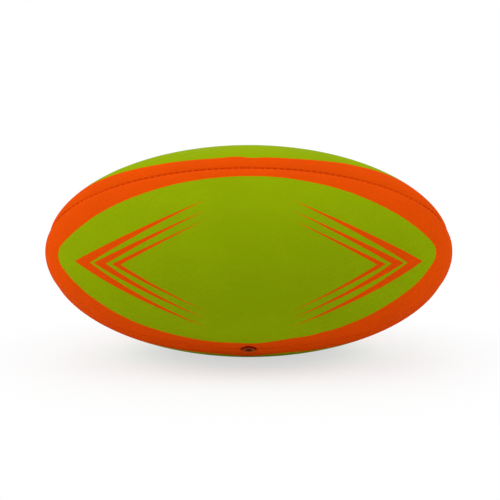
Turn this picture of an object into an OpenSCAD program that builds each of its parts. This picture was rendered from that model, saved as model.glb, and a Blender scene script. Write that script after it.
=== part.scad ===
// Rugby ball: four sewn panels with turned-in hems and linings, a bladder, and a valve in one seam.
// Millimetres. X runs from tip to tip, the front panel faces -Y and +Z is up. The origin is the ball's centre.

/* [Ball] */
// Length from tip to tip
ball_length = 290; // [250:1:320]
// Width across the belly
ball_width = 151; // [130:1:190]
// Angle that the wide front and rear panels span round the ball
front_panel_angle = 104; // [90:1:125]

/* [Panels] */
// Thickness of a rubber panel
panel_wall = 1.6; // [1.2:0.1:2.2]
// Thickness of the fabric lining behind each panel
lining_wall = 1.0; // [0.6:0.1:1.6]
// Glue film between bonded layers
bond_gap = 0.1; // [0.05:0.01:0.2]

/* [Seams] */
// Gap between two panels at the bottom of a seam
seam_gap = 0.4; // [0.2:0.1:0.8]
// Diameter of the pit left where the panels' points meet at the ball's tips
tip_pit_d = 2; // [1.6:0.1:4]
// Depth of the turned-in hems, from the ball's surface
hem_depth = 6; // [5.4:0.1:8]
// Width of the groove along a seam
groove_width = 2.4; // [1.6:0.1:3.2]
// Depth of the groove
groove_depth = 0.6; // [0.3:0.05:1]

/* [Stitching] */
// Distance between stitches along a seam
stitch_pitch = 4; // [3.5:0.1:8]
// Depth of the stitches below the ball's surface
stitch_depth = 4.1; // [3.8:0.1:4.4]
// Distance along a seam from the ball's tip to its first stitch
stitch_start = 9; // [8:0.5:16]
// Diameter of the thread where it passes through the hems
thread_d = 0.8; // [0.6:0.05:1]
// Width of the thread where it lies flat along a hem
thread_flat_width = 1.1; // [1.05:0.05:1.4]
// Thickness of the thread where it lies flat along a hem
thread_flat_wall = 0.6; // [0.4:0.05:0.9]
// Clearance between the thread and the hems
thread_gap = 0.05; // [0.03:0.01:0.1]

/* [Bladder] */
// Thickness of the bladder
bladder_wall = 0.9; // [0.6:0.1:1.4]
// Room between the bladder and what it presses against
bladder_gap = 0.3; // [0.2:0.05:0.5]

/* [Valve] */
// Diameter of the hole in the seam
valve_hole_d = 11.6; // [10:0.1:14]
// Diameter of the valve housing's stem
stem_d = 8.6; // [8:0.1:9.6]
// Length of the stem
stem_length = 18; // [14:0.5:26]
// Distance of the stem's mouth below the ball's surface
stem_recess = 0.3; // [0.1:0.1:1.6]
// Diameter of the housing's flange on the bladder
flange_d = 26; // [20:0.5:29]
// Thickness of the flange
flange_wall = 1.2; // [0.8:0.1:1.8]
// Diameter of the reinforcing patch under the seam
patch_d = 30; // [29.5:0.5:36]
// Diameter of the plug's shank
core_d = 5.2; // [4.4:0.1:5.8]
// Length of the plug
core_length = 15; // [12:0.5:17]
// Diameter of the plug's head
core_head_d = 6.6; // [6:0.1:7.2]
// Thickness of the plug's head
core_head_wall = 1.2; // [0.8:0.1:2]
// Sliding clearance round the plug
core_gap = 0.05; // [0.02:0.01:0.1]
// Diameter of the needle's bore in the plug
needle_d = 2.2; // [1.8:0.1:2.6]
// Depth of the needle's bore
needle_depth = 12; // [8:0.5:14]

/* [Hidden] */
$fn = 64;
thread_fn = 16;
half_length = ball_length / 2;
half_width = ball_width / 2;
// Room that a cutting shape keeps past what it cuts
past = 5;

// Directions round the long axis, from +Y towards +Z
rear = 0;
top = 90;
front = 180;
bottom = 270;
wide_half = front_panel_angle / 2;
narrow_half = 90 - wide_half;
upper_rear_seam = rear + wide_half;
upper_front_seam = front - wide_half;
lower_front_seam = front + wide_half;
lower_rear_seam = rear - wide_half;
valve_seam = lower_front_seam;

// Depths of the layers below the ball's surface
lining_depth = panel_wall + bond_gap;
lining_inside = lining_depth + lining_wall;
bladder_depth = lining_inside + bladder_gap;
bladder_fold_depth = hem_depth + bladder_gap;
flange_inside = bladder_fold_depth - bond_gap;
flange_depth = flange_inside - flange_wall;
patch_depth = lining_inside + bond_gap;
patch_inside = flange_depth - bond_gap;

// Half widths of the layers on either side of a seam's plane
hems_half = seam_gap / 2 + lining_inside;
thread_inside = hems_half + thread_gap;
thread_half = thread_inside + thread_flat_wall;
bladder_fold_half = thread_half + bladder_gap;

// The hems and the stitching stop short of the valve
valve_relief = patch_d / 2 + bladder_gap;
stitch_relief = valve_relief + thread_flat_width;

// Stitches sit at even steps along an ellipse in the seam's plane
stitch_a = half_length - stitch_depth;
stitch_b = half_width - stitch_depth;
function stitch_point(t) = [stitch_a * cos(t), stitch_b * sin(t)];
arc_steps = 360;
arc_step = 180 / arc_steps;
arc_table = [
  for (i = 0, s = 0; i <= arc_steps;
       s = s + norm(stitch_point((i + 1) * arc_step) - stitch_point(i * arc_step)), i = i + 1)
    [s, i * arc_step]
];
arc_length = arc_table[arc_steps][0];
stitch_gaps = floor((arc_length - 2 * stitch_start) / stitch_pitch);
stitch_points = [
  for (i = [0 : stitch_gaps])
    stitch_point(lookup(arc_length / 2 + (i - stitch_gaps / 2) * stitch_pitch, arc_table))
];
function is_valve_seam(seam) = abs(seam - valve_seam) < 1;
function seam_stitches(seam) = [
  for (p = stitch_points)
    if (!is_valve_seam(seam) || abs(p[0]) > stitch_relief) p
];

// Solid with the ball's form, a given depth inside its surface and drilled from tip to tip if need be
module ball(depth, drill_r = 0) {
  rotate([0, 90, 0])
    rotate_extrude()
      intersection() {
        scale([half_width - depth, half_length - depth]) circle(r = 1);
        translate([drill_r, -half_length]) square([half_width, ball_length]);
      }
}

// Long wedge round a direction, a given distance inside the two seam planes that bound it
module wedge(direction, half_angle, inset) {
  apex = inset / sin(half_angle);
  reach = 2 * ball_width;
  rotate([90, 0, 90])
    linear_extrude(ball_length + 2 * past, center = true)
      rotate(direction)
        polygon([[apex, 0], [apex + reach, reach * tan(half_angle)], [apex + reach, -reach * tan(half_angle)]]);
}

// Needle holes through the hems of a seam
module stitch_holes(seam) {
  rotate([seam, 0, 0])
    for (p = seam_stitches(seam))
      translate(p)
        cylinder(d = thread_d + 2 * thread_gap, h = 2 * thread_half, center = true, $fn = thread_fn);
}

// Place on the ball's surface at the valve, with +Z pointing out of the ball
module at_valve(depth) {
  rotate([valve_seam - 90, 0, 0]) translate([0, 0, half_width - depth]) children();
}

// Room without hems round the valve
module valve_room() {
  at_valve(hem_depth + past)
    translate([-valve_relief, -bladder_fold_half, 0])
      cube([2 * valve_relief, 2 * bladder_fold_half, hem_depth + 2 * past]);
}

module valve_hole(diameter) {
  at_valve(hem_depth + past) cylinder(d = diameter, h = hem_depth + 2 * past);
}

// The ball's form at a given depth, trimmed a given distance from the seams of one panel
module segment(direction, half_angle, depth, inset, drill_r = 0) {
  intersection() {
    ball(depth, drill_r);
    wedge(direction, half_angle, inset);
  }
}

// Hollows a segment into a curved sheet with a hem turned in along both of its seams
module sewn_sheet(direction, half_angle, inside) {
  difference() {
    children();
    ball(hem_depth);
    intersection() {
      ball(inside);
      union() {
        wedge(direction, half_angle, seam_gap / 2 + inside);
        valve_room();
      }
    }
    stitch_holes(direction + half_angle);
    stitch_holes(direction - half_angle);
    valve_hole(valve_hole_d);
  }
}

module panel(direction, half_angle) {
  color([0.55, 0.65, 0.06])
    sewn_sheet(direction, half_angle, panel_wall)
      union() {
        segment(direction, half_angle, 0, groove_width / 2, tip_pit_d / 2);
        segment(direction, half_angle, groove_depth, seam_gap / 2, tip_pit_d / 2);
      }
}

module lining(direction, half_angle) {
  color([0.86, 0.84, 0.78])
    sewn_sheet(direction, half_angle, lining_inside)
      segment(direction, half_angle, lining_depth, seam_gap / 2 + lining_depth);
}

module front_panel() panel(front, wide_half);
module top_panel() panel(top, narrow_half);
module rear_panel() panel(rear, wide_half);
module bottom_panel() panel(bottom, narrow_half);

module front_lining() lining(front, wide_half);
module top_lining() lining(top, narrow_half);
module rear_lining() lining(rear, wide_half);
module bottom_lining() lining(bottom, narrow_half);

// Outline of a run of thread that lies flat along a hem, straight from stitch to stitch
module thread_run(points) {
  edge = thread_flat_width / 2;
  outward = [for (p = points) [p[0] / stitch_a ^ 2, p[1] / stitch_b ^ 2]];
  sides = [for (n = outward) edge * n / norm(n)];
  last = len(points) - 1;
  polygon(concat(
    [for (i = [0 : last]) points[i] + sides[i]],
    [for (i = [last : -1 : 0]) points[i] - sides[i]]
  ));
}

// Saddle stitch: a run along each hem, joined through every needle hole
module saddle_stitch(points) {
  for (start = [thread_inside, -thread_half])
    translate([0, 0, start]) linear_extrude(thread_flat_wall) thread_run(points);
  for (p = points)
    translate(p)
      cylinder(d = thread_d, h = thread_inside + thread_half, center = true, $fn = thread_fn);
}

// Thread of one seam, broken only at the valve
module seam_thread(seam) {
  color([0.62, 0.16, 0.03])
    rotate([seam, 0, 0])
      if (is_valve_seam(seam)) {
        saddle_stitch([for (p = seam_stitches(seam)) if (p[0] > 0) p]);
        saddle_stitch([for (p = seam_stitches(seam)) if (p[0] < 0) p]);
      } else {
        saddle_stitch(seam_stitches(seam));
      }
}

module upper_front_thread() seam_thread(upper_front_seam);
module lower_front_thread() seam_thread(lower_front_seam);
module upper_rear_thread() seam_thread(upper_rear_seam);
module lower_rear_thread() seam_thread(lower_rear_seam);

// The bladder's form, a given distance inside its outer face: a core with a lobe behind each lining
module bladder_form(inside) {
  ball(bladder_fold_depth + inside);
  for (lobe = [[front, wide_half], [top, narrow_half], [rear, wide_half], [bottom, narrow_half]])
    difference() {
      segment(lobe[0], lobe[1], bladder_depth + inside, bladder_fold_half + inside);
      at_valve(half_width / 2) cylinder(r = valve_relief + inside, h = half_width);
    }
}

module bladder() {
  color([0.12, 0.12, 0.13])
    difference() {
      bladder_form(0);
      bladder_form(bladder_wall);
      at_valve(stem_length + past) cylinder(d = stem_d + 2 * bond_gap, h = stem_length + 2 * past);
    }
}

// Curved disc round the valve, between two depths
module valve_disc(outer, inner, diameter) {
  intersection() {
    difference() {
      ball(outer);
      ball(inner);
    }
    at_valve(half_width / 2) cylinder(d = diameter, h = half_width);
  }
}

module valve_patch() {
  color([0.78, 0.74, 0.66])
    difference() {
      valve_disc(patch_depth, patch_inside, patch_d);
      valve_hole(stem_d + 2 * bond_gap);
    }
}

module valve_housing() {
  color([0.36, 0.27, 0.2])
    difference() {
      union() {
        valve_disc(flange_depth, flange_inside, flange_d);
        at_valve(stem_recess + stem_length) cylinder(d = stem_d, h = stem_length);
      }
      at_valve(stem_recess + stem_length + past)
        cylinder(d = core_d + 2 * core_gap, h = stem_length + 2 * past);
      at_valve(stem_recess + core_head_wall + core_gap)
        cylinder(d = core_head_d + 2 * core_gap, h = core_head_wall + past);
    }
}

module valve_core() {
  color([0.1, 0.07, 0.06])
    difference() {
      union() {
        at_valve(stem_recess + core_length) cylinder(d = core_d, h = core_length);
        at_valve(stem_recess + core_head_wall) cylinder(d = core_head_d, h = core_head_wall);
      }
      at_valve(stem_recess + needle_depth) cylinder(d = needle_d, h = needle_depth + past);
    }
}

front_panel();
top_panel();
rear_panel();
bottom_panel();
front_lining();
top_lining();
rear_lining();
bottom_lining();
upper_front_thread();
lower_front_thread();
upper_rear_thread();
lower_rear_thread();
bladder();
valve_patch();
valve_housing();
valve_core();
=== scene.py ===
import math
from bisect import bisect_right
import bpy
import bmesh
from mathutils import Matrix, Vector


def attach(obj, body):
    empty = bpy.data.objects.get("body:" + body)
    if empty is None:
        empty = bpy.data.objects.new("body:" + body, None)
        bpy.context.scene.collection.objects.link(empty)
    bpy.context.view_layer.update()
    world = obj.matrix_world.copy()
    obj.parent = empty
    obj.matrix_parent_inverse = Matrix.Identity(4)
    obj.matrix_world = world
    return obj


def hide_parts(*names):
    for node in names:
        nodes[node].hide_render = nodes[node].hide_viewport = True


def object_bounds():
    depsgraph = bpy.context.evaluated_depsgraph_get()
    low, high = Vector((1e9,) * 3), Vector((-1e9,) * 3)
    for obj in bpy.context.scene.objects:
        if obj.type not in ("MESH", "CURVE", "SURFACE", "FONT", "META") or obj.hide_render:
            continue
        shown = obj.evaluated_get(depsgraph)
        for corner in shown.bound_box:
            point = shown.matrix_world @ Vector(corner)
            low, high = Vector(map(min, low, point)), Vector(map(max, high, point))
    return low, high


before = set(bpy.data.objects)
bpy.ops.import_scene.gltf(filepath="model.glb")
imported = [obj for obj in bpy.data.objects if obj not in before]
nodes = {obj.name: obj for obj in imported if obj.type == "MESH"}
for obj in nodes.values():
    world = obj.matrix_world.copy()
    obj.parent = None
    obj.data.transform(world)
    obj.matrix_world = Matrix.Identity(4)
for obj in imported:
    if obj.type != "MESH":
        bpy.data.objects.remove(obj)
cadLow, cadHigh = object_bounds()
print("frame loaded,", len(nodes), "nodes")

# Metres and radians. X runs from tip to tip, and angles round X start at +Y and go up through +Z.
mm = 0.001
mergeDistance = 0.002 * mm
ballForm = {
    "halfLength": 145 * mm,
    "halfWidth": 75.5 * mm,
    "tipPit": 1.0 * mm,  # radius of the pit where the panel points meet
    "arcSteps": 6000,
}
wideHalf = math.radians(52.0)  # half the angle of the front and rear panels
narrowHalf = math.radians(38.0)  # and of the top and bottom panels
rearSide, topSide, frontSide, bottomSide = (math.radians(turn) for turn in (0, 90, 180, 270))
seams = {
    "upperFront": frontSide - wideHalf,
    "lowerFront": frontSide + wideHalf,  # the valve sits in this seam
    "upperRear": rearSide + wideHalf,
    "lowerRear": rearSide - wideHalf,
}
valveAxis = Vector((0, math.cos(seams["lowerFront"]), math.sin(seams["lowerFront"])))


def smoothStep(low, high, value):
    share = min(1.0, max(0.0, (value - low) / (high - low)))
    return share * share * (3 - 2 * share)


def between(first, second, share):
    return first + (second - first) * share


# Meridian of the ball, as a table of arc length against the ellipse's own angle
def meridianTable():
    length, width = ballForm["halfLength"], ballForm["halfWidth"]
    last = math.acos(ballForm["tipPit"] / width)
    angles = [last * i / ballForm["arcSteps"] for i in range(ballForm["arcSteps"] + 1)]
    points = [Vector((length * math.sin(u), width * math.cos(u))) for u in angles]
    arcs = [0.0]
    for before, after in zip(points, points[1:]):
        arcs.append(arcs[-1] + (after - before).length)
    return angles, arcs


arcAngles, arcLengths = meridianTable()
halfArc = arcLengths[-1]


# Place along X, radius and normal at an arc length from the belly
def meridianAt(along):
    length, width = ballForm["halfLength"], ballForm["halfWidth"]
    reach = min(abs(along), halfArc)
    i = min(bisect_right(arcLengths, reach), len(arcLengths) - 1)
    share = (reach - arcLengths[i - 1]) / (arcLengths[i] - arcLengths[i - 1])
    u = math.copysign(between(arcAngles[i - 1], arcAngles[i], share), along)
    normal = Vector((math.sin(u) / length, math.cos(u) / width)).normalized()
    return length * math.sin(u), width * math.cos(u), normal


def onBall(meridian, turn, depth):
    x, radius, normal = meridian
    out = radius - depth * normal.y
    return Vector((x - depth * normal.x, out * math.cos(turn), out * math.sin(turn)))


print("half meridian", round(halfArc / mm, 1), "mm")


# Shader helpers
def put(tree, kind, sockets=None, **settings):
    node = tree.nodes.new("ShaderNode" + kind)
    for name, value in settings.items():
        setattr(node, name, value)
    for name, value in (sockets or {}).items():
        if isinstance(value, bpy.types.NodeSocket):
            tree.links.new(value, node.inputs[name])
        else:
            node.inputs[name].default_value = value
    return node


def calc(tree, operation, *values):
    return put(tree, "Math", dict(enumerate(values)), operation=operation).outputs[0]


def fade(tree, value, low, high, start=0.0, end=1.0):
    sockets = {"Value": value, "From Min": low, "From Max": high, "To Min": start, "To Max": end}
    return put(tree, "MapRange", sockets, interpolation_type="SMOOTHSTEP").outputs["Result"]


def blendColours(tree, share, first, second, mode="MIX"):
    node = put(tree, "Mix", {0: share, 6: first, 7: second}, data_type="RGBA", blend_type=mode)
    return node.outputs[2]


def newGroup(name, inputs, outputs):
    group = bpy.data.node_groups.new(name, "ShaderNodeTree")
    for label, kind in inputs:
        group.interface.new_socket(label, in_out="INPUT", socket_type="NodeSocket" + kind)
    for label, kind in outputs:
        group.interface.new_socket(label, in_out="OUTPUT", socket_type="NodeSocket" + kind)
    start = group.nodes.new("NodeGroupInput")
    end = group.nodes.new("NodeGroupOutput")
    return group, start.outputs, end.inputs


def useGroup(tree, group, sockets):
    return put(tree, "Group", sockets, node_tree=group).outputs


def newMaterial(name):
    material = bpy.data.materials.new(name)
    material.use_nodes = True
    tree = material.node_tree
    return material, tree, tree.nodes["Principled BSDF"]


def finishShader(tree, shader, colour, roughness, height):
    bump = put(tree, "Bump", {"Strength": 1.0, "Distance": 1.0, "Height": height})
    tree.links.new(colour, shader.inputs["Base Color"])
    tree.links.new(roughness, shader.inputs["Roughness"])
    tree.links.new(bump.outputs[0], shader.inputs["Normal"])


# Rubber surface: fine moulded grain for the bump, and soft cloudy tones
grainForm = {
    "fineDetail": 3.0,
    "cloudDetail": 4.0,
    "toneRange": (0.25, 0.75),
}


def makeRubberGrain():
    group, given, out = newGroup(
        "rubberGrain",
        [("Coordinates", "Vector"), ("Grain Scale", "Float"), ("Cloud Scale", "Float")],
        [("Height", "Float"), ("Tone", "Float")],
    )
    noises = []
    for scale, detail in (("Grain Scale", "fineDetail"), ("Cloud Scale", "cloudDetail")):
        sockets = {"Vector": given["Coordinates"], "Scale": given[scale], "Detail": grainForm[detail]}
        noises.append(put(group, "TexNoise", sockets).outputs[0])
    group.links.new(noises[0], out["Height"])
    group.links.new(fade(group, noises[1], *grainForm["toneRange"]), out["Tone"])
    return group


# Plain weave for the cloth layers, from two crossed waves
weaveForm = {
    "distortion": 1.5,
    "detail": 2.0,
    "gapRange": (0.7, 0.25),
}


def makeClothWeave():
    group, given, out = newGroup(
        "clothWeave",
        [("Coordinates", "Vector"), ("Yarn Scale", "Float")],
        [("Height", "Float"), ("Gap", "Float")],
    )
    sockets = {
        "Vector": given["Coordinates"], "Scale": given["Yarn Scale"],
        "Distortion": weaveForm["distortion"], "Detail": weaveForm["detail"],
    }
    runs = [put(group, "TexWave", sockets, bands_direction=way).outputs["Fac"] for way in ("X", "Z")]
    height = calc(group, "MAXIMUM", *runs)
    group.links.new(height, out["Height"])
    group.links.new(fade(group, height, *weaveForm["gapRange"]), out["Gap"])
    return group


rubberGrain = makeRubberGrain()
clothWeave = makeClothWeave()

# Printed rubber of the panels. Fades are given as the distances where they start and end.
panelFinish = {
    "orange": (0.760, 0.072, 0.001, 1),
    "green": (0.264, 0.378, 0.001, 1),
    "tones": (0.97, 1.02),
    "roughness": (0.80, 0.90),
    "specular": 0.01,
    # groove colour: painted shade inside the seams, growing with depth below the panel edges
    "groove": (0.66, 0.052, 0.001, 1),
    "grooveFade": (0.3 * mm, -1.6 * mm),  # below zero inside the seam
    "tipGroove": (0.46, 0.030, 0.001, 1),  # painted shade in the seams, darker towards the tips
    "tipGrooveFade": (1.3 * mm, 0.3 * mm),
    "tipGrooveFrom": 112 * mm,
    "tipGrooveTo": 138 * mm,
    "sweep": 2.0,  # how far the chevron arms run back for each step outwards
    "chevrons": (  # apex, half width and reach
        (108 * mm, 2.9 * mm, 41 * mm),
        (94 * mm, 2.1 * mm, 34 * mm),
        (82 * mm, 1.4 * mm, 28 * mm),
    ),
    "printSoftness": 0.12 * mm,
    "edgeWave": 1.6 * mm,
    "edgeWaveScale": 45.0,
    "edgeWaveDetail": 2.0,
    "pimplePitch": 1.7 * mm,
    "pimpleTurn": math.radians(45),
    "pimpleEdge": (0.42, 0.18),  # in pitches from a pimple's middle
    "pimpleFade": (2.0 * mm, 4.0 * mm),
    "pimpleHeight": 0.06 * mm,
    "grainScale": 2600.0,
    "cloudScale": 28.0,
    "grainHeight": 0.03 * mm,
}


def printMask(tree, inside):
    softness = panelFinish["printSoftness"]
    return fade(tree, inside, -softness, softness)


# One slanted stripe of the chevrons, thinning out along its arms
def makeChevronStripe():
    names = ("Run", "Spread", "Apex", "Half Width", "Reach")
    group, given, out = newGroup("chevronStripe", [(name, "Float") for name in names], [("Mask", "Float")])
    offset = calc(group, "ABSOLUTE", calc(group, "SUBTRACT", given["Run"], given["Apex"]))
    used = calc(group, "DIVIDE", given["Spread"], given["Reach"])
    taper = calc(group, "SUBTRACT", 1.0, used)
    halfWidth = calc(group, "MULTIPLY", given["Half Width"], taper)
    group.links.new(printMask(group, calc(group, "SUBTRACT", halfWidth, offset)), out["Mask"])
    return group


def makePanelRubber():
    look = panelFinish
    material, tree, shader = newMaterial("panelRubber")
    panelMap = put(tree, "Attribute", attribute_name="panelMap").outputs["Vector"]
    along, across, seam = put(tree, "SeparateXYZ", {0: panelMap}).outputs
    printMap = put(tree, "Attribute", attribute_name="printMap").outputs["Vector"]
    field, marked, _ = put(tree, "SeparateXYZ", {0: printMap}).outputs
    fromBelly = calc(tree, "ABSOLUTE", along)

    # Green field with a hand-cut edge
    noise = {"Vector": panelMap, "Scale": look["edgeWaveScale"], "Detail": look["edgeWaveDetail"]}
    wave = calc(tree, "SUBTRACT", put(tree, "TexNoise", noise).outputs[0], 0.5)
    shift = calc(tree, "MULTIPLY", wave, look["edgeWave"])
    fieldMask = printMask(tree, calc(tree, "ADD", field, shift))

    # Chevrons pointing to the tips
    spread = calc(tree, "ABSOLUTE", across)
    run = calc(tree, "ADD", fromBelly, calc(tree, "MULTIPLY", spread, look["sweep"]))
    slant = math.hypot(1, look["sweep"])
    straightRun = calc(tree, "DIVIDE", run, slant)
    stripe = makeChevronStripe()
    marks = None
    for apex, halfWidth, reach in look["chevrons"]:
        mask = useGroup(tree, stripe, {
            "Run": straightRun, "Spread": spread,
            "Apex": apex / slant, "Half Width": halfWidth, "Reach": reach,
        })["Mask"]
        marks = mask if marks is None else calc(tree, "MAXIMUM", marks, mask)
    marks = calc(tree, "MULTIPLY", marks, marked)
    greenMask = calc(tree, "MULTIPLY", fieldMask, calc(tree, "SUBTRACT", 1.0, marks))

    grain = useGroup(tree, rubberGrain, {
        "Coordinates": panelMap, "Grain Scale": look["grainScale"], "Cloud Scale": look["cloudScale"],
    })
    colour = blendColours(tree, greenMask, look["orange"], look["green"])
    tone = fade(tree, grain["Tone"], 0.0, 1.0, *look["tones"])
    colour = blendColours(tree, 1.0, colour, tone, "MULTIPLY")
    # Painted shade inside the seams, growing with the depth into the groove
    colour = blendColours(tree, fade(tree, seam, *look["grooveFade"]), colour, look["groove"])
    # Painted shade in the seams near the tips, where the far panel's rolled edge turns away from the light
    towardsTip = fade(tree, fromBelly, look["tipGrooveFrom"], look["tipGrooveTo"])
    tipSeamShade = calc(tree, "MULTIPLY", fade(tree, seam, *look["tipGrooveFade"]), towardsTip)
    colour = blendColours(tree, tipSeamShade, colour, look["tipGroove"])

    # Grip pimples in a diamond grid, fading out beside the seams
    grid = put(tree, "Mapping", {"Vector": panelMap, "Rotation": (0, 0, look["pimpleTurn"])})
    dots = put(
        tree, "TexVoronoi",
        {"Vector": grid.outputs[0], "Scale": 1 / look["pimplePitch"], "Randomness": 0.0},
        voronoi_dimensions="2D",
    ).outputs["Distance"]
    pimples = fade(tree, dots, *look["pimpleEdge"])
    pimples = calc(tree, "MULTIPLY", pimples, fade(tree, seam, *look["pimpleFade"]))
    height = calc(tree, "MULTIPLY", pimples, look["pimpleHeight"])
    height = calc(tree, "MULTIPLY_ADD", grain["Height"], look["grainHeight"], height)
    roughness = fade(tree, grain["Tone"], 0.0, 1.0, *look["roughness"])
    shader.inputs["Specular IOR Level"].default_value = look["specular"]
    finishShader(tree, shader, colour, roughness, height)
    return material


panelRubber = makePanelRubber()
print("panel rubber ready")

# Moulded rubber of the valve, its plug and the bladder. A painted shade on the stem's outer wall and
# in the plug's dimple starts and ends at set distances from the valve's axis.
rubberKinds = {
    "valveRubber": {
        "dark": (0.42, 0.066, 0.005, 1), "light": (0.60, 0.112, 0.011, 1),
        "roughness": (0.6, 0.75), "specular": 0.05,
        "grainScale": 3000.0, "cloudScale": 300.0, "grainHeight": 0.03 * mm,
        # painted shade on the stem's outer wall, in the gap under the panel lip
        "recessShade": (0.26, 0.010, 0.001, 1), "recessShadeReach": (3.95 * mm, 4.2 * mm),
    },
    "plugRubber": {
        "dark": (0.24, 0.042, 0.006, 1), "light": (0.36, 0.072, 0.011, 1),
        "roughness": (0.6, 0.75), "specular": 0.05,
        "grainScale": 3000.0, "cloudScale": 400.0, "grainHeight": 0.02 * mm,
        # painted shade in the plug's dimple
        "recessShade": (0.11, 0.008, 0.001, 1), "recessShadeReach": (2.75 * mm, 1.65 * mm),
    },
    "bladderRubber": {
        "dark": (0.012, 0.012, 0.013, 1), "light": (0.05, 0.05, 0.053, 1),
        "roughness": (0.5, 0.75), "specular": 0.05,
        "grainScale": 900.0, "cloudScale": 30.0, "grainHeight": 0.05 * mm,
    },
}


def makeMouldedRubber(name):
    kind = rubberKinds[name]
    material, tree, shader = newMaterial(name)
    place = put(tree, "TexCoord").outputs["Object"]
    grain = useGroup(tree, rubberGrain, {
        "Coordinates": place, "Grain Scale": kind["grainScale"], "Cloud Scale": kind["cloudScale"],
    })
    colour = blendColours(tree, grain["Tone"], kind["dark"], kind["light"])
    # Painted shade: dark on the housing's stem wall below the rim, and in the plug's dimple
    if "recessShade" in kind:
        away = put(tree, "VectorMath", {0: place, 1: valveAxis}, operation="CROSS_PRODUCT").outputs["Vector"]
        away = put(tree, "VectorMath", {0: away}, operation="LENGTH").outputs["Value"]
        colour = blendColours(tree, fade(tree, away, *kind["recessShadeReach"]), colour, kind["recessShade"])
    roughness = fade(tree, grain["Tone"], 0.0, 1.0, *kind["roughness"])
    height = calc(tree, "MULTIPLY", grain["Height"], kind["grainHeight"])
    shader.inputs["Specular IOR Level"].default_value = kind["specular"]
    finishShader(tree, shader, colour, roughness, height)
    return material


# Woven cloth of the linings and the valve patch
clothKinds = {
    "liningFabric": {
        "yarn": (0.72, 0.68, 0.58, 1), "gap": (0.42, 0.39, 0.32, 1), "roughness": (0.95, 0.8),
        "yarnScale": 420.0, "yarnHeight": 0.12 * mm,
    },
    "patchFabric": {
        "yarn": (0.58, 0.52, 0.41, 1), "gap": (0.30, 0.26, 0.20, 1), "roughness": (0.95, 0.8),
        "yarnScale": 320.0, "yarnHeight": 0.16 * mm,
    },
}
# Darker cloth round the valve: rubber cement that soaks it, and painted shade in the opening under the valve
valveCementAndShade = {
    "reach": (17 * mm, 10 * mm),
    "colour": (0.055, 0.014, 0.006, 1),
}


def makeWovenCloth(name):
    kind = clothKinds[name]
    material, tree, shader = newMaterial(name)
    place = put(tree, "TexCoord").outputs["Object"]
    weave = useGroup(tree, clothWeave, {"Coordinates": place, "Yarn Scale": kind["yarnScale"]})
    colour = blendColours(tree, weave["Gap"], kind["yarn"], kind["gap"])
    # Rubber cement and painted shade darken the cloth near the valve's mouth
    mouth = valveAxis * ballForm["halfWidth"]
    away = put(tree, "VectorMath", {0: place, 1: mouth}, operation="DISTANCE").outputs["Value"]
    colour = blendColours(tree, fade(tree, away, *valveCementAndShade["reach"]), colour, valveCementAndShade["colour"])
    roughness = fade(tree, weave["Height"], 0.0, 1.0, *kind["roughness"])
    height = calc(tree, "MULTIPLY", weave["Height"], kind["yarnHeight"])
    finishShader(tree, shader, colour, roughness, height)
    return material


# Waxed twisted thread
threadFinish = {
    "dark": (0.70, 0.062, 0.001, 1),
    "light": (0.86, 0.090, 0.002, 1),
    "roughness": (0.75, 0.6),
    "specular": 0.02,
    "twistScale": 700.0,
    "twistDistortion": 2.0,
    "twistHeight": 0.06 * mm,
}


def makeSeamThread():
    look = threadFinish
    material, tree, shader = newMaterial("seamThread")
    place = put(tree, "TexCoord").outputs["Object"]
    wave = {"Vector": place, "Scale": look["twistScale"], "Distortion": look["twistDistortion"]}
    twist = put(tree, "TexWave", wave, bands_direction="DIAGONAL").outputs["Fac"]
    colour = blendColours(tree, twist, look["dark"], look["light"])
    roughness = fade(tree, twist, 0.0, 1.0, *look["roughness"])
    height = calc(tree, "MULTIPLY", twist, look["twistHeight"])
    shader.inputs["Specular IOR Level"].default_value = look["specular"]
    finishShader(tree, shader, colour, roughness, height)
    return material


valveRubber = makeMouldedRubber("valveRubber")
plugRubber = makeMouldedRubber("plugRubber")
bladderRubber = makeMouldedRubber("bladderRubber")
liningFabric = makeWovenCloth("liningFabric")
patchFabric = makeWovenCloth("patchFabric")
seamThread = makeSeamThread()
print("other materials ready")


def addObject(name, data):
    thing = bpy.data.objects.new(name, data)
    bpy.context.scene.collection.objects.link(thing)
    return thing


def meshFrom(name, bm):
    mesh = bpy.data.meshes.new(name)
    bm.to_mesh(mesh)
    bm.free()
    return mesh


def finishPiece(name, bm, material, body="ball", sharpFrom=None):
    bmesh.ops.remove_doubles(bm, verts=bm.verts, dist=mergeDistance)
    bmesh.ops.recalc_face_normals(bm, faces=bm.faces)
    for face in bm.faces:
        face.smooth = True
    mesh = meshFrom(name, bm)
    if sharpFrom:
        mesh.set_sharp_from_angle(angle=sharpFrom)
    mesh.materials.append(material)
    piece = addObject(name, mesh)
    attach(piece, body)
    return piece


# Stitches pinch the panel edges at even steps along each seam
stitchForm = {
    "pitch": 4.147 * mm,
    "last": 152 * mm,  # furthest stitch from the belly
    "lastFade": 2 * mm,
    "valveClear": 16.4 * mm,
    "valveFade": 3 * mm,
    "pinch": 0.16 * mm,
    "pinchReach": 2.8 * mm,
    "pinchPower": 1.5,  # above 1, a pinch is shorter than the slit beside it
    "uneven": 0.2,  # how much the pull of the thread varies
    "unevenWaves": (7.3 * mm, 17.9 * mm),
    "unevenPhase": 0.7,
    "openGap": 0.23 * mm,  # half the slit between two stitches
    "tipGap": 0.50 * mm,  # the same near the tips, where the seam gapes
    "gapeFrom": 122 * mm,
    "gapeTo": 146 * mm,
    "valveGap": 0.46 * mm,  # and beside the valve, where no stitch holds it
    "valveGapFrom": 34 * mm,
    "valveGapTo": 14 * mm,
    "shutGap": 0.13 * mm,
    "depth": 0.52 * mm,  # below the panel edges
    "size": (0.55 * mm, 1.25 * mm, 0.40 * mm),  # along, across and into the seam
    "slant": math.radians(18),
    "segments": (8, 6),
}


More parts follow.
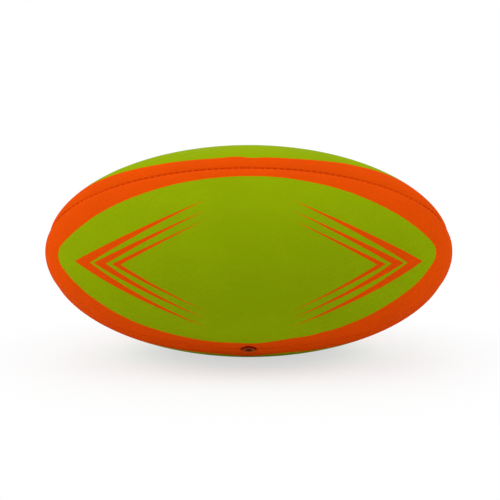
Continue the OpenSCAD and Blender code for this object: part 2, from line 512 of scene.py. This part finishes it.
def pinchAt(along, atValve):
    form = stitchForm
    far = abs(along)
    beat = 0.5 + 0.5 * math.cos(math.tau * (along / form["pitch"] - 0.5))
    strength = 1 - smoothStep(form["last"] - form["lastFade"], form["last"] + form["lastFade"], far)
    if atValve:
        strength *= smoothStep(form["valveClear"] - form["valveFade"], form["valveClear"], far)
    short, long = form["unevenWaves"]
    sway = math.sin(along / short) * math.sin(along / long + form["unevenPhase"])
    pull = 1 - form["uneven"] + form["uneven"] * sway
    return beat ** form["pinchPower"] * strength * pull


panelForm = {
    "rows": 640,
    "roll": 1.2 * mm,  # radius of the edge turned into the seam
    "rollSteps": 7,
    "wall": 1.6 * mm,
    "hem": 6.0 * mm,
    "hemAtValve": 1.65 * mm,
    "flank": (0.7 * mm, 1.6 * mm, 2.9 * mm, 4.7 * mm, 7.2 * mm),
    "innerColumns": 8,
    "edgeShare": 0.35,  # most of a narrow tip's half width that the gap and roll may take
    "flankShare": 0.5,  # and with the flank
    "pillows": ((0.35 * mm, 8.0 * mm), (0.40 * mm, 3.0 * mm)),  # depth and reach of the fall beside a seam
    "lipDepth": 0.40 * mm,  # a further fall, kept off the valve
    "lipReach": 3.2 * mm,
    "lipFrom": 22 * mm,
    "lipTo": 40 * mm,
    "valveRelief": 15.3 * mm,  # half length of the hem that is cut back for the valve
    "reliefFade": 2 * mm,
    "eyeLength": 5.9 * mm,  # half length of the hole for the valve
    "tipRound": 12 * mm,  # rounding of the printed field's points
    "slopeStep": 0.5 * mm,
}

# Middle is the number of columns between the flanks, marked is 1 where a panel carries chevrons, and
# valveEdge is the edge at the valve, or 0.
# Printed border of a panel: its width at the belly, its lean along X and its growth towards the tips.
# Waves of the hand-cut edge are given as place along X, reach and growth.
panelKinds = {
    "frontPanel": {
        "node": "front_panel", "side": frontSide, "half": wideHalf, "middle": 32, "marked": 1.0,
        "valveEdge": 1, "eyeHeight": 4.6 * mm,
        "borders": ((9.5 * mm, 0.006, 1.35), (11.6 * mm, 0.026, 1.63)),
        "waves": (
            ((118 * mm, 10 * mm, -1.1 * mm),),
            ((2 * mm, 9 * mm, -1.0 * mm), (26 * mm, 9 * mm, 1.4 * mm), (46 * mm, 5 * mm, 0.8 * mm),
             (109 * mm, 14 * mm, -0.9 * mm)),
        ),
    },
    "topPanel": {
        "node": "top_panel", "side": topSide, "half": narrowHalf, "middle": 22, "marked": 0.0,
        "valveEdge": 0, "eyeHeight": 0.0,
        "borders": ((10.8 * mm, 0.0, 0.86), (10.6 * mm, 0.023, 0.86)),
        "waves": (
            (),
            ((-9 * mm, 7 * mm, 1.2 * mm), (3 * mm, 5 * mm, -1.0 * mm), (36 * mm, 16 * mm, -0.8 * mm)),
        ),
    },
    "rearPanel": {
        "node": "rear_panel", "side": rearSide, "half": wideHalf, "middle": 32, "marked": 1.0,
        "valveEdge": 0, "eyeHeight": 0.0,
        "borders": ((9.4 * mm, -0.008, 1.45), (10.4 * mm, 0.01, 1.42)),
        "waves": (((-20 * mm, 8 * mm, 1.0 * mm),), ((12 * mm, 9 * mm, -0.9 * mm),)),
    },
    "bottomPanel": {
        "node": "bottom_panel", "side": bottomSide, "half": narrowHalf, "middle": 22, "marked": 0.0,
        "valveEdge": -1, "eyeHeight": 5.2 * mm,
        "borders": ((10.4 * mm, 0.0, 0.90), (10.4 * mm, 0.0, 0.90)),
        "waves": (((0, 10 * mm, 4.6 * mm), (27 * mm, 12 * mm, -2.2 * mm)), ()),
    },
}


# Columns of the closed cross-section, each as an edge, a stretch of the section and a place on it
def sectionColumns(middle):
    steps = panelForm["rollSteps"]
    edge = [("hem", 1.0), ("hem", 0.5)]
    edge += [("roll", math.pi / 2 * (1 - i / (steps - 1))) for i in range(steps)]
    edge += [("flank", reach) for reach in panelForm["flank"]]
    outer = [(-1, *place) for place in edge]
    outer += [(0, "middle", i / middle) for i in range(1, middle)]
    outer += [(1, *place) for place in reversed(edge)]
    count = panelForm["innerColumns"]
    inner = [(1, "innerHem", 1.0), (1, "innerHem", 0.0)]
    inner += [(0, "innerMiddle", 1 - i / count) for i in range(1, count)]
    inner += [(-1, "innerHem", 0.0), (-1, "innerHem", 1.0)]
    return outer + inner


def lipAt(along, atValve):
    if not atValve:
        return panelForm["lipDepth"]
    return panelForm["lipDepth"] * smoothStep(panelForm["lipFrom"], panelForm["lipTo"], abs(along))


# Sizes of one panel edge at one place along the ball
def edgeSizes(kind, along, radius, atValve):
    far = abs(along)
    room = radius * math.sin(kind["half"])
    pinch = pinchAt(along, atValve)
    gape = smoothStep(stitchForm["gapeFrom"], stitchForm["gapeTo"], far)
    gap = between(stitchForm["openGap"], stitchForm["tipGap"], gape)
    eye = 0.0
    hem = panelForm["hem"]
    if atValve:
        beside = smoothStep(stitchForm["valveGapFrom"], stitchForm["valveGapTo"], far)
        gap = between(gap, stitchForm["valveGap"], beside)
        if far < panelForm["eyeLength"]:
            eye = kind["eyeHeight"] * math.cos(math.pi / 2 * along / panelForm["eyeLength"])
        opened = smoothStep(panelForm["valveRelief"] + panelForm["reliefFade"], panelForm["valveRelief"], far)
        hem = between(hem, panelForm["hemAtValve"], opened)
    gap = between(gap, stitchForm["shutGap"], pinch)
    rolled = gap + panelForm["roll"]
    shrink = min(1.0, panelForm["edgeShare"] * room / rolled)
    flankShrink = min(1.0, panelForm["flankShare"] * room / (rolled + panelForm["flank"][-1]))
    return {
        "gap": gap * shrink + eye, "roll": panelForm["roll"] * shrink, "wall": panelForm["wall"] * shrink,
        "hem": hem, "flankShrink": flankShrink, "pinch": pinch * stitchForm["pinch"] * shrink,
        "eye": eye, "lip": lipAt(along, atValve) * shrink,
    }


# Distance from the seam plane and depth below the surface
def edgePlace(size, stretch, place):
    if stretch == "hem":
        return size["gap"], between(size["roll"], size["hem"], place)
    if stretch == "roll":
        return size["gap"] + size["roll"] * (1 - math.sin(place)), size["roll"] * (1 - math.cos(place))
    if stretch == "flank":
        return size["gap"] + size["roll"] + place * size["flankShrink"], 0.0
    return size["gap"] + size["wall"], between(panelForm["wall"], size["hem"], place)


# How far the surface falls below the ball's own shape beside a seam
def sinkAt(distance, size):
    beside = max(0.0, distance - size["gap"])
    falls = (
        *panelForm["pillows"],
        (size["lip"], panelForm["lipReach"]),
        (size["pinch"], stitchForm["pinchReach"]),
    )
    return sum(depth * math.exp(-(beside / reach) ** 2) for depth, reach in falls)


# Half widths of the printed field on either side of the panel's middle line
def fieldHalves(kind, x, radius):
    room = radius * kind["half"]
    halves = []
    for (belly, lean, grow), waves in zip(kind["borders"], kind["waves"]):
        wave = sum(growth * math.exp(-((x - place) / reach) ** 2) for place, reach, growth in waves)
        halves.append(room - belly - lean * x - grow * x * x - wave)
    return halves


# How far a point lies inside the printed field, with the field's points rounded
def fieldEdge(across, halves, squareness):
    low = (halves[0] + across) * squareness[0]
    high = (halves[1] - across) * squareness[1]
    overlap = max(0.0, 1 - abs(low - high) / panelForm["tipRound"])
    return min(low, high) - overlap * overlap * panelForm["tipRound"] / 4


def makePanel(name, kind):
    columns = sectionColumns(kind["middle"])
    rows = panelForm["rows"]
    bm = bmesh.new()
    bmesh.ops.create_grid(bm, x_segments=rows, y_segments=len(columns), size=1.0)
    panelMap = bm.verts.layers.float_vector.new("panelMap")
    printMap = bm.verts.layers.float_vector.new("printMap")
    byRow = [[] for _ in range(rows + 1)]
    for vert in bm.verts:
        byRow[round((vert.co.x + 1) / 2 * rows)].append(vert)

    for row, verts in enumerate(byRow):
        along = halfArc * (2 * row / rows - 1)
        meridian = meridianAt(along)
        x, radius, _ = meridian
        sizes = {edge: edgeSizes(kind, along, radius, kind["valveEdge"] == edge) for edge in (-1, 1)}
        ends = {}
        for stretch, place in (("flank", panelForm["flank"][-1]), ("innerHem", 0.0)):
            for edge in (-1, 1):
                distance = edgePlace(sizes[edge], stretch, place)[0]
                ends[stretch, edge] = edge * (kind["half"] - math.asin(distance / radius))
        # A sloping edge of the field is crossed at a slant, so distances to it shrink
        halves = fieldHalves(kind, x, radius)
        step = panelForm["slopeStep"]
        ahead = fieldHalves(kind, *meridianAt(along + step)[:2])
        squareness = [1 / math.hypot(1, (after - before) / step) for before, after in zip(halves, ahead)]

        for vert in verts:
            column = round((vert.co.y + 1) / 2 * len(columns)) % len(columns)
            edge, stretch, place = columns[column]
            if edge:
                distance, depth = edgePlace(sizes[edge], stretch, place)
                turn = edge * (kind["half"] - math.asin(distance / radius))
                fall = 0.0 if stretch == "innerHem" else sinkAt(distance, sizes[edge])
                distance -= sizes[edge]["eye"]
            else:
                inside = stretch == "innerMiddle"
                low, high = (ends["innerHem" if inside else "flank", side] for side in (-1, 1))
                turn = between(low, high, place)
                depth = panelForm["wall"] if inside else 0.0
                toSeams = {side: radius * (kind["half"] - side * turn) for side in (-1, 1)}
                fall = 0.0 if inside else sum(sinkAt(toSeams[side], sizes[side]) for side in (-1, 1))
                distance = min(toSeams[side] - sizes[side]["eye"] for side in (-1, 1))
            vert.co = onBall(meridian, kind["side"] + turn, depth + fall)
            across = radius * turn
            vert[panelMap] = (along, across, distance - depth)
            vert[printMap] = (fieldEdge(across, halves, squareness), kind["marked"], 0.0)

    bmesh.ops.remove_doubles(bm, verts=bm.verts, dist=mergeDistance)
    rims = [edge for edge in bm.edges if edge.is_boundary]
    caps = bmesh.ops.holes_fill(bm, edges=rims, sides=0)["faces"]
    bmesh.ops.triangulate(bm, faces=caps)
    panel = finishPiece(name, bm, panelRubber)
    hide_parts(kind["node"])
    print(name, len(panel.data.polygons), "faces")


for panelName, panelKind in panelKinds.items():
    makePanel(panelName, panelKind)


# Short thread crossings that show in the seams
def makeStitches(name, turn, atValve):
    form = stitchForm
    bm = bmesh.new()
    count = int(form["last"] / form["pitch"] + 0.5)
    depth = form["depth"] + form["pinch"] + sum(fall for fall, _ in panelForm["pillows"])
    around, rings = form["segments"]
    lean = Matrix.Rotation(form["slant"], 4, "Z")
    size = Matrix.Diagonal((*form["size"], 1))
    acrossway = Vector((0, -math.sin(turn), math.cos(turn)))
    made = 0
    for step in range(-count, count):
        along = (step + 0.5) * form["pitch"]
        if atValve and abs(along) < form["valveClear"]:
            continue
        meridian = meridianAt(along)
        slope = meridian[2]
        normal = Vector((slope.x, slope.y * math.cos(turn), slope.y * math.sin(turn)))
        place = Matrix((acrossway.cross(normal), acrossway, normal)).transposed().to_4x4()
        place.translation = onBall(meridian, turn, depth + lipAt(along, atValve))
        bmesh.ops.create_uvsphere(
            bm, u_segments=around, v_segments=rings, radius=1.0, matrix=place @ lean @ size)
        made += 1
    finishPiece(name, bm, seamThread)
    print(name, made, "stitches")


for seamName, seamTurn in seams.items():
    makeStitches(seamName + "Stitches", seamTurn, seamName == "lowerFront")


# Valve in the lower front seam. Heights run along its axis from the ball's centre.
valveForm = {
    "mouth": 75.2 * mm,
    "bead": 0.3 * mm,  # rounded rim on the mouth
    "steps": 72,
    "sharpFrom": math.radians(45),
    "flangeTop": 70.5 * mm,
    "flangeBase": 69.3 * mm,
    "flangeRadius": 13 * mm,
    "stemRadius": 4.3 * mm,
    "stemLength": 18 * mm,
    "boreRadius": 2.65 * mm,
    "seatRadius": 3.35 * mm,
    "seatDepth": 1.25 * mm,
}
plugForm = {
    "headRadius": 3.3 * mm,
    "headWall": 1.2 * mm,
    "shankRadius": 2.6 * mm,
    "length": 15 * mm,
    "needleRadius": 1.1 * mm,
    "needleDepth": 12 * mm,
    "dimpleRadius": 2.2 * mm,
    "dimpleDepth": 1.1 * mm,
    "grooves": (2.5 * mm, 5.5 * mm, 8.5 * mm),  # sealing grooves, from under the head
    "grooveDepth": 0.22 * mm,
}


def valvePlace():
    side = Vector((1, 0, 0))
    return Matrix((side, valveAxis.cross(side), valveAxis)).transposed().to_4x4()


# Turns a profile of radius and height pairs about the valve's axis
def spinProfile(profile, closed):
    bm = bmesh.new()
    verts = [bm.verts.new((radius, 0, height)) for radius, height in profile]
    pairs = list(zip(verts, verts[1:]))
    if closed:
        pairs.append((verts[-1], verts[0]))
    edges = [bm.edges.new(pair) for pair in pairs]
    bmesh.ops.spin(
        bm, geom=verts + edges, cent=(0, 0, 0), axis=(0, 0, 1), angle=math.tau,
        steps=valveForm["steps"], use_merge=True, use_duplicate=False)
    bmesh.ops.remove_doubles(bm, verts=bm.verts, dist=mergeDistance)
    return bm


def makeHousing():
    form = valveForm
    mouth, stem, seat, bore = form["mouth"], form["stemRadius"], form["seatRadius"], form["boreRadius"]
    wide, top, base = form["flangeRadius"], form["flangeTop"], form["flangeBase"]
    rim = mouth + form["bead"]
    shelf = mouth - form["seatDepth"]
    foot = mouth - form["stemLength"]
    profile = [
        (seat, mouth - 0.5 * mm), (seat + 0.06 * mm, mouth + 0.15 * mm),  # bead round the mouth
        (seat + 0.25 * mm, rim - 0.08 * mm), (seat + 0.55 * mm, rim), (stem - 0.3 * mm, rim - 0.1 * mm),
        (stem - 0.08 * mm, mouth + 0.15 * mm), (stem, mouth - 0.3 * mm),
        (stem, mouth - 1.6 * mm), (stem - 0.25 * mm, mouth - 1.8 * mm),  # groove below it
        (stem - 0.25 * mm, mouth - 2.3 * mm), (stem, mouth - 2.5 * mm),
        (stem, top + 0.7 * mm), (stem + 0.2 * mm, top + 0.2 * mm), (stem + 0.7 * mm, top),  # flange
        (stem + 3 * mm, top), (stem + 5.5 * mm, top), (wide - 0.5 * mm, top), (wide, top - 0.6 * mm),
        (wide - 0.4 * mm, base), (stem + 5.5 * mm, base), (stem + 3 * mm, base), (stem, base),
        (stem - 0.3 * mm, foot + 3 * mm), (stem - 0.4 * mm, foot + 0.4 * mm), (stem - 0.8 * mm, foot),
        (bore + 0.2 * mm, foot), (bore, foot + 0.2 * mm), (bore, shelf - 0.15 * mm),  # bore and seat
        (bore + 0.15 * mm, shelf), (seat - 0.1 * mm, shelf), (seat, shelf + 0.1 * mm),
    ]
    bm = spinProfile(profile, closed=True)
    for vert in bm.verts:  # the flange follows the ball's curve
        if math.hypot(vert.co.x, vert.co.y) > stem + 0.1 * mm:
            width = ballForm["halfWidth"] * math.sqrt(1 - (vert.co.x / ballForm["halfLength"]) ** 2)
            vert.co.z -= ballForm["halfWidth"] - math.sqrt(width ** 2 - vert.co.y ** 2)
    bmesh.ops.transform(bm, matrix=valvePlace(), verts=bm.verts)
    housing = finishPiece("valveHousing", bm, valveRubber, sharpFrom=form["sharpFrom"])
    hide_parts("valve_housing")


def makePlug():
    form = plugForm
    top = valveForm["mouth"]
    head, shank = form["headRadius"], form["shankRadius"]
    needle, dimple = form["needleRadius"], form["dimpleRadius"]
    foot = top - form["length"]
    under = top - form["headWall"]
    deep = top - form["needleDepth"]
    profile = [
        (0, deep - 0.5 * mm), (needle * 0.6, deep - 0.3 * mm), (needle, deep),  # needle bore
        (needle, top - form["dimpleDepth"]), (needle + 0.12 * mm, top - form["dimpleDepth"] * 0.7),
        (dimple - 0.15 * mm, top - 0.12 * mm), (dimple + 0.1 * mm, top - 0.02 * mm),
        (head - 0.9 * mm, top), (head - 0.35 * mm, top - 0.03 * mm),  # head
        (head - 0.08 * mm, top - 0.16 * mm), (head, top - 0.4 * mm), (head, under + 0.15 * mm),
        (head - 0.15 * mm, under), (shank + 0.1 * mm, under), (shank, under - 0.1 * mm),
    ]
    narrow = shank - form["grooveDepth"]
    for groove in form["grooves"]:
        height = under - groove
        profile += [
            (shank, height), (narrow, height - 0.25 * mm),
            (narrow, height - 0.75 * mm), (shank, height - 1.0 * mm),
        ]
    profile += [(shank, foot + 0.8 * mm), (shank - 0.25 * mm, foot + 0.2 * mm)]
    profile += [(shank - 0.8 * mm, foot), (0, foot)]
    bm = spinProfile(profile, closed=False)
    bmesh.ops.transform(bm, matrix=valvePlace(), verts=bm.verts)
    sharpFrom = valveForm["sharpFrom"]
    plug = finishPiece("valvePlug", bm, plugRubber, body="plug", sharpFrom=sharpFrom)
    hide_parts("valve_core")


makeHousing()
makePlug()
print("valve ready")

# Finishes of the layers inside
innerLayers = (
    (liningFabric, ("front_lining", "top_lining", "rear_lining", "bottom_lining")),
    (seamThread, ("upper_front_thread", "lower_front_thread", "upper_rear_thread", "lower_rear_thread")),
    (bladderRubber, ("bladder",)),
    (patchFabric, ("valve_patch",)),
)
for layerFinish, layerNames in innerLayers:
    for layerName in layerNames:
        nodes[layerName].data.materials.clear()
        nodes[layerName].data.materials.append(layerFinish)
print("inner layers dressed")

# Studio: pale floor, white surroundings and soft lamps all round
studio = {
    "floorRadius": 9.0,
    "floorSegments": 96,
    "floorTone": (0.87, 0.87, 0.87, 1),
    "fadeStretch": (0.55, 1.0, 1.0),  # the floor turns white nearer in front of the ball than beside it
    "fadeFrom": 0.03,
    "fadeTo": 0.16,
    "leastWhite": 0.45,  # keeps the shadow soft
    "skyStrength": 0.18,
    "lamps": {
        "overLamp": {"place": (0.0, -0.1, 1.6), "size": 1.6, "power": 6.4},
        "leftLamp": {"place": (-1.15, -0.32, 0.96), "size": 1.0, "power": 14.5},
        "rightLamp": {"place": (1.15, -0.32, 0.92), "size": 0.8, "power": 10.2},
        "frontLamp": {"place": (0.0, -1.6, 0.15), "size": 1.2, "power": 2.3},
        "backLamp": {"place": (0.0, 1.3, 1.1), "size": 1.2, "power": 7.4},
    },
}


def seenRays(tree):
    rays = put(tree, "LightPath").outputs
    seen = calc(tree, "MAXIMUM", rays["Is Camera Ray"], rays["Is Glossy Ray"])
    return calc(tree, "MAXIMUM", seen, rays["Is Transmission Ray"])


def makeFloor():
    bm = bmesh.new()
    bmesh.ops.create_circle(
        bm, cap_ends=True, radius=studio["floorRadius"], segments=studio["floorSegments"])
    bmesh.ops.translate(bm, verts=bm.verts, vec=(0, 0, cadLow.z))
    mesh = meshFrom("floor", bm)
    floor = addObject("floor", mesh)
    material, tree, shader = newMaterial("paleFloor")
    shader.inputs["Base Color"].default_value = studio["floorTone"]
    shader.inputs["Roughness"].default_value = 1.0
    shader.inputs["Specular IOR Level"].default_value = 0.0
    place = put(tree, "TexCoord").outputs["Object"]
    flat = put(tree, "Mapping", {"Vector": place, "Scale": studio["fadeStretch"]}).outputs[0]
    away = put(tree, "VectorMath", {0: flat}, operation="LENGTH").outputs["Value"]
    far = fade(tree, away, studio["fadeFrom"], studio["fadeTo"], studio["leastWhite"], 1.0)
    white = put(tree, "Emission", {"Color": (1, 1, 1, 1), "Strength": 1.0})
    share = calc(tree, "MULTIPLY", far, seenRays(tree))
    mixed = put(tree, "MixShader", {0: share, 1: shader.outputs[0], 2: white.outputs[0]})
    tree.links.new(mixed.outputs[0], tree.nodes["Material Output"].inputs["Surface"])
    mesh.materials.append(material)


def makeSky():
    world = bpy.data.worlds.new("studio")
    bpy.context.scene.world = world
    world.use_nodes = True
    tree = world.node_tree
    sky = tree.nodes["Background"]
    sky.inputs["Color"].default_value = (1, 1, 1, 1)
    low = studio["skyStrength"]
    tree.links.new(calc(tree, "MULTIPLY_ADD", seenRays(tree), 1 - low, low), sky.inputs["Strength"])


def aimAt(thing, target):
    thing.rotation_euler = (Vector(target) - thing.location).to_track_quat("-Z", "Y").to_euler()


def makeLamp(name, kind):
    lamp = bpy.data.lights.new(name, "AREA")
    lamp.shape = "DISK"
    lamp.size = kind["size"]
    lamp.energy = kind["power"]
    holder = addObject(name, lamp)
    holder.location = kind["place"]
    aimAt(holder, (0, 0, 0))


view = {
    "distance": 0.38,
    "elevation": math.radians(7.42),
    "lens": 37.67,
    "sensor": 36.0,
    "shift": (0.0024, 0.0020),
    "clipEnd": 100,
}


def makeCamera():
    lens = bpy.data.cameras.new("camera")
    lens.sensor_width = view["sensor"]
    lens.lens = view["lens"]
    lens.shift_x, lens.shift_y = view["shift"]
    lens.clip_end = view["clipEnd"]
    camera = addObject("camera", lens)
    rise = view["elevation"]
    camera.location = view["distance"] * Vector((0, -math.cos(rise), math.sin(rise)))
    aimAt(camera, (0, 0, 0))
    bpy.context.scene.camera = camera


makeFloor()
makeSky()
for lampName, lampKind in studio["lamps"].items():
    makeLamp(lampName, lampKind)
makeCamera()
bpy.context.scene.view_settings.view_transform = "Standard"
print("studio ready")
